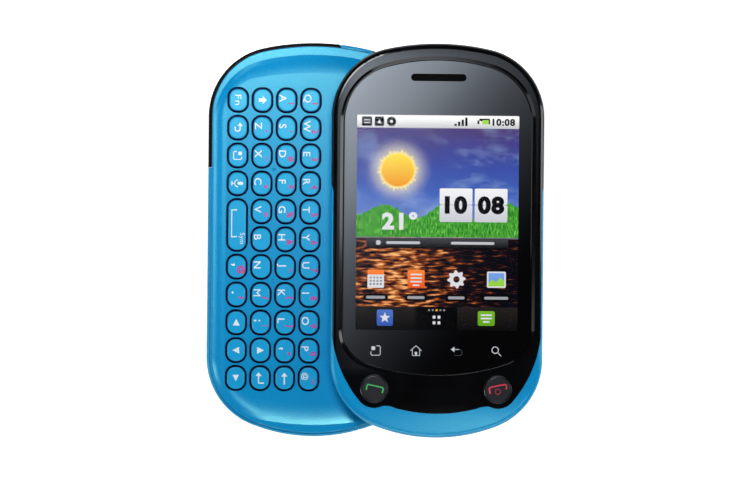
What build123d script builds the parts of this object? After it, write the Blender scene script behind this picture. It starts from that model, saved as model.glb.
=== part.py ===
from build123d import *
from math import atan2, cos, radians, sin, sqrt
import os

# A side-sliding phone lying on its back, in millimetres. X runs to the right, Y towards the
# earpiece end and Z out of the screen. The keypad half is centred on X = 0 with its flat back
# on Z = 0. The screen half is drawn slid open, slide_travel to the right of the keypad half.

# Plan of both halves: straight sides, round corners and a shallow crown at each end. An end is
# given by its corner radius and by how far its crown falls from the middle to the side
half_width = 28.19
half_length = 52.26
top_end = (18.4, 6.61)
bottom_end = (19.0, 10.14)
slide_travel = 32.45

# Keypad half: the deck, and how far the case and its ledge lie below it
deck_thickness = 0.8
dish_depth = 0.95
case_below_deck = 0.8
ledge_below_deck = 2.7
back_round = 3.0
case_edge_round = 0.7

# Keypad half: walls and seams
cover_wall = 0.9
seam = 0.06
core_wall = 1.15
core_floor = 0.9
deck_inset = 0.91
deck_skirt = 1.1
step_wall = 0.85
split_y = half_length - 33.46
split_r = 92.0
split_gap = 0.12
camera_bay_y = split_y + 7.0
camera_floor = 1.2

# Dished keypad deck: rim widths and the plan of the dish's upper and lower edges
rim_side = 0.55
rim_top = 2.25
rim_bottom = 2.15
dish_top_end = (16.4, 5.97)
dish_bottom_end = (16.94, 4.97)
slope_side = 3.2
slope_top = 4.8
slope_bottom = 5.6
floor_top_end = (9.6, 3.3)
floor_bottom_end = (9.5, 3.1)
slope_steps = 6
rim_round = 0.3
rail_seam_x = (11.1, 12.4)
rail_seam_width = 0.26
rail_seam_depth = 0.24
rail_seam_end = 2.4
pip_r = 0.3
pip_height = 0.12
pip_rows = (2.5, -1.5)

# Keys, in columns from the left. They fill the deck that the open slide leaves bare
key_columns = [
    "fn back menu mic space - comma period up left down",
    "shift z x c v b n m semicolon right enter",
    "a s d f g h j k l apostrophe delete",
    "q w e r t y u i o p at",
]
keypad_left = 4.51
keypad_right = 2.15
keypad_end = 11.64
key_ring = 0.46
key_web_x, key_web_y = 0.63, 0.47
key_end_flat = 0.5
key_proud = 0.65
key_bevel_width = 0.42
key_bevel_height = 0.2
key_travel = 0.35
flange_spacing = 0.28
flange_thickness = 0.4
key_gap = 0.05

# Silicone mat, board and what sits on it
mat_thickness = 0.3
mat_margin = 0.9
mat_corner = 4.0
press_clear = 0.1
board_thickness = 0.65
dome_height = 0.18
dome_r = 2.0
dome_gap = 0.02
board_inset = 3.0
board_gap = 0.05
can_margin = 3.0
can_boss_gap = 1.4
can_y = (4.0, half_length - 19.26)
can_gap = 0.2
card_place = (-half_width + 12.92, half_length - 26.76)
card_size = (14.0, 13.0, 1.8)
motor_place = (10.0, -half_length + 8.76)
motor_r, motor_height = 4.0, 2.6

# Battery and its bay
battery_width = 2 * (half_width - 8.92)
battery_y = (-half_length + 15.26, split_y - 5.8)
battery_thickness = 3.95
battery_corner = 1.5
battery_clear = 0.15
bay_clear = 0.2
bay_wall = 0.85
bay_head = 0.3
bay_roof = 0.55

# Case screws, driven from under the battery cover into bosses on the deck
screw_x = half_width - 5.52
screw_places = [(screw_x, 12.0), (screw_x, -12.0), (screw_x - 1.1, -half_length + 17.26),
                (-12.5, -half_length + 7.26)]
screw_r = 0.6
screw_head_r = 1.3
screw_head = 0.8
screw_recess = (1.5, 0.35, 0.4)
screw_recess_corner = 0.1
screw_seat = 0.05
screw_tip_cover = 0.4
screw_tip_gap = 0.3
screw_clear = 0.15
thread_clear = 0.02
boss_r = 1.5
boss_clear = 0.4
housing_boss_r = 2.1

# Back: camera, speaker and thumb notch
camera_place = (0.0, half_length - 14.26)
camera_window_r = 3.9
camera_recess_r = 5.2
camera_recess = 0.3
camera_size = 8.0
camera_gap = 0.5
barrel_r = 3.1
barrel_gap = 0.6
speaker_place = (half_width - 12.42, half_length - 19.26)
speaker_size = (13.0, 11.0, 3.3)
speaker_gap = 0.1
shield_gap = 0.15
speaker_slots = 5
speaker_slot = (8.0, 0.9)
speaker_pitch = 1.9
notch_r = 5.5
notch_depth = 0.35

# Sockets in the top edge, and the cover of one of them
port_x = (6.6, 15.2)
port_z = 2.9
port_cover_wall = 0.78
port_clear = 0.08
knuckle_r = 0.36
knuckle_inset = 0.38
hinge_pin_r = 0.17
hinge_fit = 0.04
hinge_pin_cover = 0.9
hinge_pin_end_gap = 0.15
usb_width, usb_height, usb_depth = 7.5, 2.5, 5.4
usb_shell = 0.4
usb_mouth_depth = 4.0
usb_tongue = (4.0, 0.5)
usb_tongue_end = 0.6
usb_recess = 8.0
socket_clear = 0.2
jack_x, jack_z = -9.0, 3.7
jack_r = 1.75
jack_body = (5.2, 12.0)
jack_bore = 10.5
jack_wall_r = 1.9
hole_reach = 6.0
mic_x = 4.0
mic_hole_r = 0.4
mic_end = 5.66
mic_r, mic_height = 1.8, 1.6

# Volume key in the right side wall
volume_y = (half_length - 30.86, half_length - 20.46)
volume_z = (3.3, 5.1)
volume_corner = 0.8
volume_edge_round = 0.3
volume_proud = 0.4
volume_wall_clear = 0.1
volume_flange = 0.6
volume_flange_grip = 0.45
volume_flange_gap = 0.1
volume_travel = 0.3
switch_size = (1.8, 6.0)
switch_reach = 0.5
switch_gap = 0.15

# Slide: steel guide with two shoes on the deck, slotted steel plate in the screen half
slide_gap = 0.2
guide_plate_thickness = 0.5
guide_plate_margin = (1.0, 2.6)
guide_plate_corner = 2.0
shoe_y = half_length - 18.76
shoe_start = 4.2
shoe_end = 6.9
shoe_neck = 2.4
shoe_head = 4.4
shoe_head_thickness = 0.7
shoe_corner = 0.8
shoe_fit = 0.05
slide_plate_thickness = 0.5
slide_plate_inset = 2.2
case_slot_clear = 0.3

# Screen half
slider_floor = 0.8
slider_top_round = 1.5
slider_bottom_round = 0.9
crown_width = 3.3
crown_depth = 1.9
crown_spill = 0.05
slider_wall = 2.0
chin_start = half_length - 18.26
chin_r = 77.0
band_y = half_length - 34.26
band_height = 1.7
bezel_height = 4.2
bezel_strip = 0.6
bezel_wall = 1.8
band_taper = 5.0

# Lower edge of the black front: a lobe round each call key, joined by a shallow crown
call_key_x = half_width - 11.79
call_key_y = -half_length + 12.96
strip_end_y = call_key_y + 13.8
strip_bend = (half_width - 3.3, call_key_y + 4.1)
lobe_wall = 1.6
lobe_from, lobe_to = -33.0, -115.0
saddle_mid = (call_key_x - 3.91, call_key_y - 4.55)
saddle_end = (call_key_x - 5.6, call_key_y - 5.09)
front_end_y = call_key_y - 6.5

# Glass over the screen
lens_side = 3.2
lens_top_y = half_length - 4.36
lens_bottom_y = half_length - 16.46
lens_top_end = (15.3, 6.54)
lens_bottom_end = (9.6, 5.53)
lens_thickness = 1.0
lens_below_ridge = 0.4
lens_clear = 0.08
lens_edge_round = 0.2
frame_slope = 0.95
frame_slope_foot = 0.12
frame_slope_start = 0.1
earpiece_y = lens_top_y - 4.7
earpiece_length, earpiece_width = 14.7, 1.95
receiver_size = (15.0, 6.4)

# Screen unit behind the glass
screen_width = 2 * (half_width - lens_side - 1.52)
screen_span = (8.8 - lens_bottom_y, lens_top_y - 11.4)
screen_corner = 0.8
screen_thickness = 2.35
screen_gap = 0.15
screen_clear = 0.2
screen_board = 0.3
screen_board_gap = 1.0
screen_board_width = 2 * (half_width - 8.92)
screen_board_y = (-half_length + 9.26, lens_top_y - 2.4)

# Call and end keys
call_r = 3.45
call_ring = 0.5
call_ring_height = 1.0
call_fit = 0.12
call_sunk = 0.08
call_edge_round = 0.3
call_flange_grip = 0.65
call_flange = 0.4
call_stem_r = 1.0
call_travel = 0.35
call_dome_height = 0.25


def crown_radius(half_w, fall):
    return (half_w**2 + fall**2) / (2 * fall)


def end_points(half_w, half_l, end, inset=0.0):
    # side, middle of the corner, meeting of corner and crown, middle of the crown
    corner_r, fall = end
    crown_r = crown_radius(half_w, fall) - inset
    corner_r -= inset
    half_w -= inset
    half_l -= inset
    corner_x = half_w - corner_r
    crown_y = half_l - crown_r
    corner_y = crown_y + sqrt((crown_r - corner_r) ** 2 - corner_x**2)
    turn = atan2(corner_y - crown_y, corner_x)
    corner = [(corner_x + corner_r * cos(a), corner_y + corner_r * sin(a)) for a in (0, turn / 2, turn)]
    return corner + [(0, half_l)]


def mirrored(point):
    return (-point[0], point[1])


def plan(half_w, top_y, top, bottom_y, bottom, inset=0.0):
    # closed face of an outline with straight sides and two crowned ends, moved in by inset
    side_t, corner_t, meet_t, crown_t = end_points(half_w, top_y, top, inset)
    side_b, corner_b, meet_b, crown_b = [(x, -y) for x, y in end_points(half_w, bottom_y, bottom, inset)]
    rim = [
        Line(side_b, side_t),
        ThreePointArc(side_t, corner_t, meet_t),
        ThreePointArc(meet_t, crown_t, mirrored(meet_t)),
        ThreePointArc(mirrored(meet_t), mirrored(corner_t), mirrored(side_t)),
        Line(mirrored(side_t), mirrored(side_b)),
        ThreePointArc(mirrored(side_b), mirrored(corner_b), mirrored(meet_b)),
        ThreePointArc(mirrored(meet_b), crown_b, meet_b),
        ThreePointArc(meet_b, corner_b, side_b),
    ]
    return Face(Wire(rim))


def outline(inset=0.0):
    return plan(half_width, half_length, top_end, half_length, bottom_end, inset)


def slab(face, low, high):
    return extrude(Pos(0, 0, low) * face, amount=high - low, dir=(0, 0, 1))


def block(x, y, z):
    size = [b - a for a, b in (x, y, z)]
    return Pos(*[(a + b) / 2 for a, b in (x, y, z)]) * Box(*size)


def drum(place, r, low, high):
    return Pos(place[0], place[1], (low + high) / 2) * Cylinder(r, high - low)


def centred(place, width, length, low, high):
    return slab(Pos(place[0], place[1]) * Rectangle(width, length), low, high)


def pad(place, width, length, corner, low, high):
    return slab(Pos(place[0], place[1]) * RectangleRounded(width, length, corner), low, high)


def blend_between(a, b, share):
    return a + (b - a) * share


def tapered(lower, upper, low, high):
    return loft([Pos(0, 0, low) * lower, Pos(0, 0, high) * upper], ruled=True)


def rounded_slab(inset, low, high, low_round):
    body = slab(outline(inset), low, high)
    return fillet(body.edges().group_by(Axis.Z)[0], low_round)


def top_edge_y(x, inset=0.0):
    # height of the outline's upper edge at x, on the crown or on the corner
    side, _, meet, crown = end_points(half_width, half_length, top_end, inset)
    if abs(x) <= meet[0]:
        crown_r = crown_radius(half_width, top_end[1]) - inset
        return crown[1] - crown_r + sqrt(crown_r**2 - x**2)
    corner_r = top_end[0] - inset
    return side[1] + sqrt(corner_r**2 - (abs(x) - side[0] + corner_r) ** 2)


# Places that follow from the driving sizes
far = half_length + 20.0
over = 1.0
near = 0.01
row_count = len(key_columns[0].split())
key_pitch_x = (slide_travel - keypad_left - keypad_right) / len(key_columns)
key_pitch_y = 2 * (half_length - keypad_end) / row_count
key_width = key_pitch_x - 2 * key_ring - key_web_x
key_length = key_pitch_y - 2 * key_ring - key_web_y
key_corner = (key_width - key_end_flat) / 2
core_bottom = cover_wall + seam
cavity_inset = cover_wall + core_wall + seam

# Keypad half: heights above the table, from the battery up
battery_low = cover_wall + battery_clear
battery_high = battery_low + battery_thickness
bay_top = battery_high + bay_head
board_bottom = bay_top + bay_roof + board_gap
board_top = board_bottom + board_thickness
mat_bottom = board_top + dome_height + dome_gap
mat_top = mat_bottom + mat_thickness
deck_under = mat_top + press_clear + key_travel + flange_thickness + key_gap
deck_floor = deck_under + deck_thickness
deck_top = deck_floor + dish_depth
case_top = deck_top - case_below_deck
ledge_top = deck_top - ledge_below_deck

# Screen half: heights from its underside up, and where the shoes run in it
shoe_x = (slide_travel - half_width + shoe_start, half_width - shoe_end)
slider_low = deck_top + slide_gap
band_seat = slider_low + band_height
bezel_seat = slider_low + bezel_height
slide_plate_low = slider_low + slider_floor
slide_plate_high = slide_plate_low + slide_plate_thickness
screen_low = slide_plate_high + screen_board_gap + screen_board
screen_high = screen_low + screen_thickness
lens_low = screen_high + screen_gap
lens_high = lens_low + lens_thickness
slider_high = lens_high + lens_below_ridge
screen_y = (screen_span[0] + screen_span[1]) / 2
screen_height = screen_span[1] - screen_span[0]
call_keys = {"call_key": (-call_key_x, call_key_y), "end_key": (call_key_x, call_key_y)}


def key_line(column):
    return -half_width + keypad_left + (column + 0.5) * key_pitch_x


def key_places():
    # name, centre and extra length of every key, column by column from the left
    found = []
    for column, names in enumerate(key_columns):
        x = key_line(column)
        for row, name in enumerate(names.split()):
            if name == "-":
                continue
            y = ((row_count - 1) / 2 - row) * key_pitch_y
            if name == "space":
                found.append((name, (x, y - key_pitch_y / 2), key_pitch_y))
            else:
                found.append((name, (x, y), 0.0))
    return found


keys = key_places()


def cover_zone(gap):
    # everything under the arched split line between battery cover and camera end
    reach = half_width + over
    centre_y = split_y + gap - sqrt(split_r**2 - half_width**2)
    edge_y = centre_y + sqrt(split_r**2 - reach**2)
    line = [
        Line((-reach, -far), (reach, -far)),
        Line((reach, -far), (reach, edge_y)),
        ThreePointArc((reach, edge_y), (0, centre_y + split_r), (-reach, edge_y)),
        Line((-reach, edge_y), (-reach, -far)),
    ]
    return slab(Face(Wire(line)), -over, deck_top + over)


def case_block():
    # outer form of the keypad half's case
    body = rounded_slab(0, 0, case_top, back_round)
    return fillet(body.edges().group_by(Axis.Z)[-1], case_edge_round)


def thumb_notch():
    return drum((0, split_y + half_width**2 / (2 * split_r)), notch_r, -over, notch_depth)


def rail_seams(y, z):
    return [block((x - rail_seam_width / 2, x + rail_seam_width / 2), y, z) for x in rail_seam_x]


def end_hole(x, r, end):
    # a drill through the end wall at the sockets' height, end = 1 above and -1 below
    return Pos(x, end * half_length, jack_z) * Rot(90, 0, 0) * Cylinder(r, 2 * hole_reach)


def port_pivot():
    x = port_x[0] + knuckle_r
    return (x, top_edge_y(x) - knuckle_inset)


def port_zone(wall, clear, low):
    # room of the port cover: its stretch of wall, its knuckle, and the swing beside it
    pivot = port_pivot()
    stretch = block((pivot[0], port_x[1] + clear), (0, far), (low, deck_top))
    stretch &= slab(outline(-over), low, deck_top) - slab(outline(wall), low, deck_top)
    return stretch + drum(pivot, knuckle_r + clear, low, deck_top)


def make_rear_housing():
    zone = cover_zone(split_gap / 2)
    core = rounded_slab(core_bottom, core_bottom, ledge_top, back_round - core_bottom) & zone
    body = (case_block() - zone) + core
    body -= slab(outline(cavity_inset), core_bottom + core_floor, deck_top)
    body -= slab(outline(step_wall), ledge_top, deck_top)
    camera_end = block((-far, far), (camera_bay_y, far), (camera_floor, ledge_top))
    body -= camera_end & slab(outline(cavity_inset), camera_floor, ledge_top)

    # battery bay, open at the back, and the screw bosses beside it
    bay_x = battery_width / 2 + bay_clear
    bay_y = (battery_y[0] - bay_clear, battery_y[1] + bay_clear)
    wall_y = (bay_y[0] - bay_wall, bay_y[1] + bay_wall)
    body += block((-bay_x - bay_wall, bay_x + bay_wall), wall_y, (core_bottom, bay_top + bay_roof))
    for place in screw_places:
        body += drum(place, housing_boss_r, core_bottom, board_bottom - board_gap)
        body -= drum(place, screw_r + screw_clear, 0, deck_top)
        body -= drum(place, screw_head_r + screw_clear, 0, core_bottom + screw_head + screw_clear)
    body -= block((-bay_x, bay_x), bay_y, (0, bay_top))

    # camera window and speaker slots through the back
    body -= drum(camera_place, camera_window_r, -over, camera_floor + over)
    body -= drum(camera_place, camera_recess_r, -over, camera_recess)
    for n in range(speaker_slots):
        y = speaker_place[1] + (n - (speaker_slots - 1) / 2) * speaker_pitch
        length, width = speaker_slot
        body -= slab(Pos(speaker_place[0], y) * SlotOverall(length, width), -over, camera_floor + over)
    body -= thumb_notch()

    # sockets in the top edge, the port cover's room and its pin
    pivot = port_pivot()
    body -= port_zone(step_wall, port_clear, port_z - port_clear)
    swing = pivot[0] - knuckle_inset - port_clear
    body -= block((swing, pivot[0]), (pivot[1], far), (port_z - port_clear, deck_top))
    middle = (port_x[0] + port_x[1]) / 2
    usb_x = (middle - usb_width / 2 - socket_clear, middle + usb_width / 2 + socket_clear)
    usb_z = (board_bottom - usb_height - socket_clear, board_bottom)
    body -= block(usb_x, (top_edge_y(0) - usb_recess, far), usb_z)
    body += drum(pivot, hinge_pin_r, port_z - port_clear, case_top - hinge_pin_cover)
    body -= end_hole(jack_x, jack_wall_r, 1)
    body -= end_hole(mic_x, mic_hole_r, -1)

    # window of the volume key
    window_y = (volume_y[0] - volume_wall_clear, volume_y[1] + volume_wall_clear)
    window_z = (volume_z[0] - volume_wall_clear, volume_z[1] + volume_wall_clear)
    return body - block((half_width - cavity_inset - over, far), window_y, window_z)


def make_battery_cover():
    body = case_block() & cover_zone(-split_gap / 2)
    body -= rounded_slab(cover_wall, cover_wall, deck_top, back_round - cover_wall)
    body -= thumb_notch() + end_hole(mic_x, mic_hole_r, -1)
    skin = block((-far, far), (-far, 0), (0, deck_top)) - slab(outline(rail_seam_depth), 0, deck_top)
    for groove in rail_seams((-far, 0), (back_round, deck_top)):
        body -= groove & skin
    return body


def make_battery_pack():
    body = block(
        (-battery_width / 2, battery_width / 2),
        battery_y,
        (battery_low, battery_high),
    )
    return fillet(body.edges().filter_by(Axis.Z), battery_corner)


def dish():
    # the hollow over the keys: a flat floor and a slope that steepens up to the rim
    rim_w = half_width - deck_inset - rim_side
    rim_t = half_length - deck_inset - rim_top
    rim_b = half_length - deck_inset - rim_bottom
    levels = []
    for step in range(slope_steps + 1):
        rise = step / slope_steps
        fall = 1 - rise
        top, bottom = [tuple(blend_between(foot, rim, rise) for foot, rim in zip(*ends))
                       for ends in ((floor_top_end, dish_top_end), (floor_bottom_end, dish_bottom_end))]
        level = plan(rim_w - fall * slope_side, rim_t - fall * slope_top, top,
                     rim_b - fall * slope_bottom, bottom)
        levels.append(Pos(0, 0, deck_floor + dish_depth * rise**2) * level)
    return loft(levels)


def make_keypad_deck():
    body = slab(outline(deck_inset), ledge_top + seam, deck_top)
    body = fillet(body.edges().group_by(Axis.Z)[-1], rim_round)
    hollow = dish()
    body -= hollow
    body -= slab(outline(deck_inset + deck_skirt), 0, deck_under)
    for place in screw_places:
        body += drum(place, boss_r, board_bottom - board_gap + seam, deck_under)
        body -= drum(place, screw_r + thread_clear, 0, deck_floor - screw_tip_cover)
    hole = key_ring * 2
    for _, place, extra in keys:
        body -= pad(place, key_width + hole, key_length + extra + hole, key_corner + key_ring,
                    0, deck_top)
    pip_x = (key_line(1) + key_line(2)) / 2
    for row in pip_rows:
        body += drum((pip_x, row * key_pitch_y), pip_r, deck_floor, deck_floor + pip_height)
    rim_end = -half_length + deck_inset + rim_bottom
    lowered = Pos(0, 0, -rail_seam_depth) * hollow
    for groove in rail_seams((-far, rim_end), (deck_top - rail_seam_depth, deck_top + over)):
        body -= groove
    for groove in rail_seams((rim_end - near, rim_end + rail_seam_end), (deck_floor, deck_top + over)):
        body -= groove & lowered
    return body


def make_key(place, extra):
    low = deck_under - key_gap
    high = deck_floor + key_proud
    bevel = high - key_bevel_height
    length = key_length + extra
    at = Pos(place[0], place[1])
    inner = key_bevel_width
    body = pad(place, key_width, length, key_corner, low, bevel)
    body += tapered(at * RectangleRounded(key_width, length, key_corner),
                    at * RectangleRounded(key_width - 2 * inner, length - 2 * inner, key_corner - inner),
                    bevel, high)
    flange_x = key_pitch_x - flange_spacing
    flange_y = key_pitch_y - flange_spacing + extra
    return body + pad(place, flange_x, flange_y, key_corner + key_ring, low - flange_thickness, low)


def make_key_mat():
    xs = [place[0] for _, place, _ in keys]
    ys = [place[1] for _, place, _ in keys]
    width = key_width + 2 * (key_ring + mat_margin)
    length = key_length + 2 * (key_ring + mat_margin)
    x = (min(xs) - width / 2, max(xs) + width / 2)
    y = (min(ys) - length / 2, max(ys) + length / 2)
    middle = ((x[0] + x[1]) / 2, (y[0] + y[1]) / 2)
    return pad(middle, x[1] - x[0], y[1] - y[0], mat_corner, mat_bottom, mat_top)


def make_main_board():
    edge = outline(board_inset)
    board = slab(edge, board_bottom, board_top)
    for place in screw_places:
        board -= drum(place, boss_r + boss_clear, 0, deck_top)
    solids = [board]
    for _, place, _ in keys:
        solids.append(drum(place, dome_r, board_top, board_top + dome_height))

    # shield cans on top, under the slide
    can_x = (shoe_x[0] - can_margin, screw_x - boss_r - can_boss_gap)
    for y in (can_y, (-can_y[1], -can_y[0])):
        solids.append(block(can_x, y, (board_top, deck_under - can_gap)))

    # camera, speaker, shield, card socket, motor and microphone underneath
    camera_low = camera_floor + camera_gap
    camera = centred(camera_place, camera_size, camera_size, camera_low, board_bottom)
    solids.append(camera + drum(camera_place, barrel_r, camera_recess + barrel_gap, camera_low))
    length, width, height = speaker_size
    speaker_low = camera_floor + speaker_gap
    shield_low = speaker_low + height + shield_gap
    solids.append(centred(speaker_place, length, width, speaker_low, speaker_low + height))
    solids.append(centred(speaker_place, length, width, shield_low, board_bottom))
    length, width, height = card_size
    solids.append(centred(card_place, length, width, board_bottom - height, board_bottom))
    solids.append(drum(motor_place, motor_r, board_bottom - motor_height, board_bottom))
    solids.append(drum((mic_x, -half_length + mic_end), mic_r, board_bottom - mic_height, board_bottom))
    return Compound(solids + [make_usb_socket(), make_headset_socket(), make_volume_switch()])


def make_usb_socket():
    # a shell with a tongue in its mouth, behind the port cover
    middle = (port_x[0] + port_x[1]) / 2
    mouth = top_edge_y(port_x[1], step_wall) - port_clear
    low = board_bottom - usb_height
    shell = centred((middle, mouth - usb_depth / 2), usb_width, usb_depth, low, board_bottom)
    inside = usb_width / 2 - usb_shell
    shell -= block((middle - inside, middle + inside), (mouth - usb_mouth_depth, far),
                   (low + usb_shell, board_bottom - usb_shell))
    width, thickness = usb_tongue
    tongue_low = (low + board_bottom - thickness) / 2
    return shell + block((middle - width / 2, middle + width / 2),
                         (mouth - usb_depth, mouth - usb_tongue_end),
                         (tongue_low, tongue_low + thickness))


def make_headset_socket():
    width, length = jack_body
    mouth = top_edge_y(jack_x - width / 2, cavity_inset) - socket_clear
    body = centred((jack_x, mouth - length / 2), width, length, camera_floor + speaker_gap, board_bottom)
    return body - Pos(jack_x, mouth, jack_z) * Rot(90, 0, 0) * Cylinder(jack_r, 2 * jack_bore)


def make_volume_switch():
    # stands behind the volume key's flange, one travel and a gap away
    depth, length = switch_size
    x = half_width - cavity_inset - volume_flange_gap - volume_flange - volume_travel - switch_gap
    middle = ((volume_y[0] + volume_y[1]) / 2, (volume_z[0] + volume_z[1]) / 2)
    return centred((x - depth / 2, middle[0]), depth, length, middle[1] - switch_reach, board_bottom)


def make_case_screws():
    low = core_bottom + screw_seat
    length, width, depth = screw_recess
    solids = []
    for place in screw_places:
        head = drum(place, screw_head_r, low, low + screw_head)
        for size in ((length, width), (width, length)):
            head -= pad(place, *size, screw_recess_corner, 0, low + depth)
        shank = drum(place, screw_r, low + screw_head, deck_floor - screw_tip_cover - screw_tip_gap)
        solids.append(head + shank)
    return Compound(solids)


def make_port_cover():
    pivot = port_pivot()
    body = case_block() & block((pivot[0], port_x[1]), (0, far), (port_z, deck_top))
    body -= slab(outline(port_cover_wall), 0, deck_top)
    body += drum(pivot, knuckle_r, port_z, case_top) & case_block()
    pin_top = case_top - hinge_pin_cover
    return body - drum(pivot, hinge_pin_r + hinge_fit, 0, pin_top + hinge_pin_end_gap)


def make_volume_key():
    wall = half_width - cavity_inset - volume_flange_gap
    cap = block((wall, half_width + volume_proud), volume_y, volume_z)
    cap = fillet(cap.edges().filter_by(Axis.X), volume_corner)
    cap = fillet(cap.faces().sort_by(Axis.X)[-1].edges(), volume_edge_round)
    grip = volume_flange_grip
    flange = block((wall - volume_flange, wall), (volume_y[0] - grip, volume_y[1] + grip),
                   (volume_z[0] - grip, volume_z[1] + grip))
    return cap + flange


def make_guide_plate():
    middle = (shoe_x[0] + shoe_x[1]) / 2
    shoe_length = shoe_x[1] - shoe_x[0]
    top = deck_floor + guide_plate_thickness
    head_low = slide_plate_high + shoe_fit
    body = pad((middle, 0), shoe_length + 2 * guide_plate_margin[0], 2 * (shoe_y + guide_plate_margin[1]),
               guide_plate_corner, deck_floor, top)
    for y in (-shoe_y, shoe_y):
        body += centred((middle, y), shoe_length, shoe_neck, top, head_low)
        body += pad((middle, y), shoe_length, shoe_head, shoe_corner, head_low,
                    head_low + shoe_head_thickness)
    return body


def shoe_slots(side_clear, low, high):
    # the path of both shoes through the screen half, from closed to open
    x = (shoe_x[0] - slide_travel - shoe_fit, shoe_x[1] + shoe_fit)
    reach = shoe_neck / 2 + side_clear
    return [block(x, (side * shoe_y - reach, side * shoe_y + reach), (low, high)) for side in (-1, 1)]


def slider_block():
    # outer form of the screen half: the glass end flat, the chin falling away in one curve
    body = slab(outline(0), slider_low, slider_high)
    roll = Pos(0, -chin_start, slider_high - chin_r) * Rot(0, 90, 0) * Cylinder(chin_r, 4 * half_width)
    body -= block((-far, far), (-far, -chin_start), (slider_low, slider_high + over)) - roll
    top_rim = body.edges().filter_by(lambda e: e.center().Z > band_seat and on_rim(e))
    body = fillet(top_rim, slider_top_round)
    body = fillet(body.edges().group_by(Axis.Z)[0], slider_bottom_round)
    return body - crown_cut()


def crown_cut():
    # takes the glass end down to its crown in a quarter ellipse that fades out at the corners
    crown_r = crown_radius(half_width, top_end[1])
    low = slider_high - crown_depth
    inner, outer = crown_r - crown_width, crown_r + over
    curve = EllipticalCenterArc((inner, low), crown_width + crown_spill, crown_depth, arc_size=90)
    rim = [
        curve,
        Line(curve @ 1, (inner, slider_high + over)),
        Line((inner, slider_high + over), (outer, slider_high + over)),
        Line((outer, slider_high + over), (outer, low)),
        Line((outer, low), curve @ 0),
    ]
    profile = Pos(0, half_length - crown_r) * Plane.XZ * Face(Wire(rim))
    return revolve(profile, axis=Axis((0, half_length - crown_r, 0), (0, 0, 1)))


def on_rim(edge):
    # true for the edges that run round the outline, not across the top or up the sides
    start, end = edge @ 0, edge @ 1
    across = abs(start.Y - end.Y) < near and abs(abs(start.X - end.X) - 2 * half_width) < near
    upright = abs(start.X - end.X) < near and abs(start.Y - end.Y) < near
    return not across and not upright


def front_zone(gap):
    # room of the black front, grown by gap
    lobe_r = call_r + lobe_wall
    bend = [(call_key_x + lobe_r * cos(radians(a)), call_key_y + lobe_r * sin(radians(a)))
            for a in (lobe_from, (lobe_from + lobe_to) / 2, lobe_to)]
    strip = half_width - bezel_strip
    top, wide = (strip, half_length), (half_width + over, band_y)
    narrow, end = (strip, band_y - band_taper), (strip, strip_end_y)
    arcs = [(end, strip_bend, bend[0]), tuple(bend), (bend[2], saddle_mid, saddle_end)]
    side = [top, wide, narrow, end]
    rim = [Line(*run) for run in zip(side, side[1:])] + [ThreePointArc(*arc) for arc in arcs]
    rim.append(ThreePointArc(saddle_end, (0, front_end_y), mirrored(saddle_end)))
    rim += [ThreePointArc(*[mirrored(point) for point in arc]) for arc in arcs]
    rim += [Line(mirrored(a), mirrored(b)) for a, b in zip(side, side[1:])]
    rim.append(Line(mirrored(top), top))
    face = Face(Wire(rim))
    if gap:
        face = offset(face, gap, kind=Kind.INTERSECTION)
    low = slab(face, bezel_seat - gap, slider_high + over)
    band = block((-far, far), (band_y - gap, far), (band_seat - gap, slider_high + over))
    return low + band


def lens_plan(grow=0.0):
    return plan(half_width - lens_side, lens_top_y, lens_top_end, lens_bottom_y, lens_bottom_end, -grow)


def make_slider_case():
    body = slider_block() - front_zone(seam)
    body -= slab(outline(slider_wall), slide_plate_low, bezel_seat)
    for slot in shoe_slots(case_slot_clear, slider_low - over, slide_plate_low + over):
        body -= slot
    return body


def make_front_bezel():
    body = slider_block() & front_zone(0)
    body -= slab(outline(bezel_wall), slider_low, bezel_seat)
    body -= slab(lens_plan(lens_clear), lens_low - seam, slider_high + over)
    foot, rise = lens_plan(lens_clear + frame_slope_foot), lens_plan(frame_slope)
    body -= tapered(foot, rise, lens_high - frame_slope_start, slider_high + near)
    for middle, size in (((0, screen_y), (screen_width, screen_height)), ((0, earpiece_y), receiver_size)):
        width, height = [side + 2 * screen_clear for side in size]
        body -= pad(middle, width, height, screen_corner + screen_clear, slider_low, slider_high)
    hole_r = call_r + call_fit
    ring = Cone(hole_r, call_r + call_ring, call_ring_height)
    for place in call_keys.values():
        body -= drum(place, hole_r, slider_low, slider_high)
        body -= Pos(*place, call_surface()) * ring
    return body


def call_surface():
    # height of the front beside the call keys
    return slider_high - chin_r + sqrt(chin_r**2 - (-call_key_y - chin_start) ** 2)


def make_touch_lens():
    body = slab(lens_plan(), lens_low, lens_high)
    body = fillet(body.edges().group_by(Axis.Z)[-1], lens_edge_round)
    slot = SlotOverall(earpiece_length, earpiece_width)
    return body - slab(Pos(0, earpiece_y) * slot, lens_low - over, lens_high + over)


def make_display_module():
    screen = pad((0, screen_y), screen_width, screen_height, screen_corner, screen_low, screen_high)
    receiver = pad((0, earpiece_y), *receiver_size, screen_corner, screen_low, screen_high)
    x = screen_board_width / 2
    board = block((-x, x), screen_board_y, (screen_low - screen_board, screen_low))
    domes = [drum(place, dome_r, screen_low, screen_low + call_dome_height) for place in call_keys.values()]
    return Compound([board, screen, receiver] + domes)


def make_slide_plate():
    body = slab(outline(slide_plate_inset), slide_plate_low, slide_plate_high)
    for slot in shoe_slots(shoe_fit, slide_plate_low - over, slide_plate_high + over):
        body -= slot
    return body


def make_call_key(place):
    flange_high = bezel_seat - key_gap
    flange_low = flange_high - call_flange
    cap = drum(place, call_r, flange_high, call_surface() - call_sunk)
    cap = fillet(cap.edges().group_by(Axis.Z)[-1], call_edge_round)
    stem_low = screen_low + call_dome_height + call_travel + key_gap
    return cap + drum(place, call_r + call_flange_grip, flange_low, flange_high) + drum(
        place, call_stem_r, stem_low, flange_low)


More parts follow.
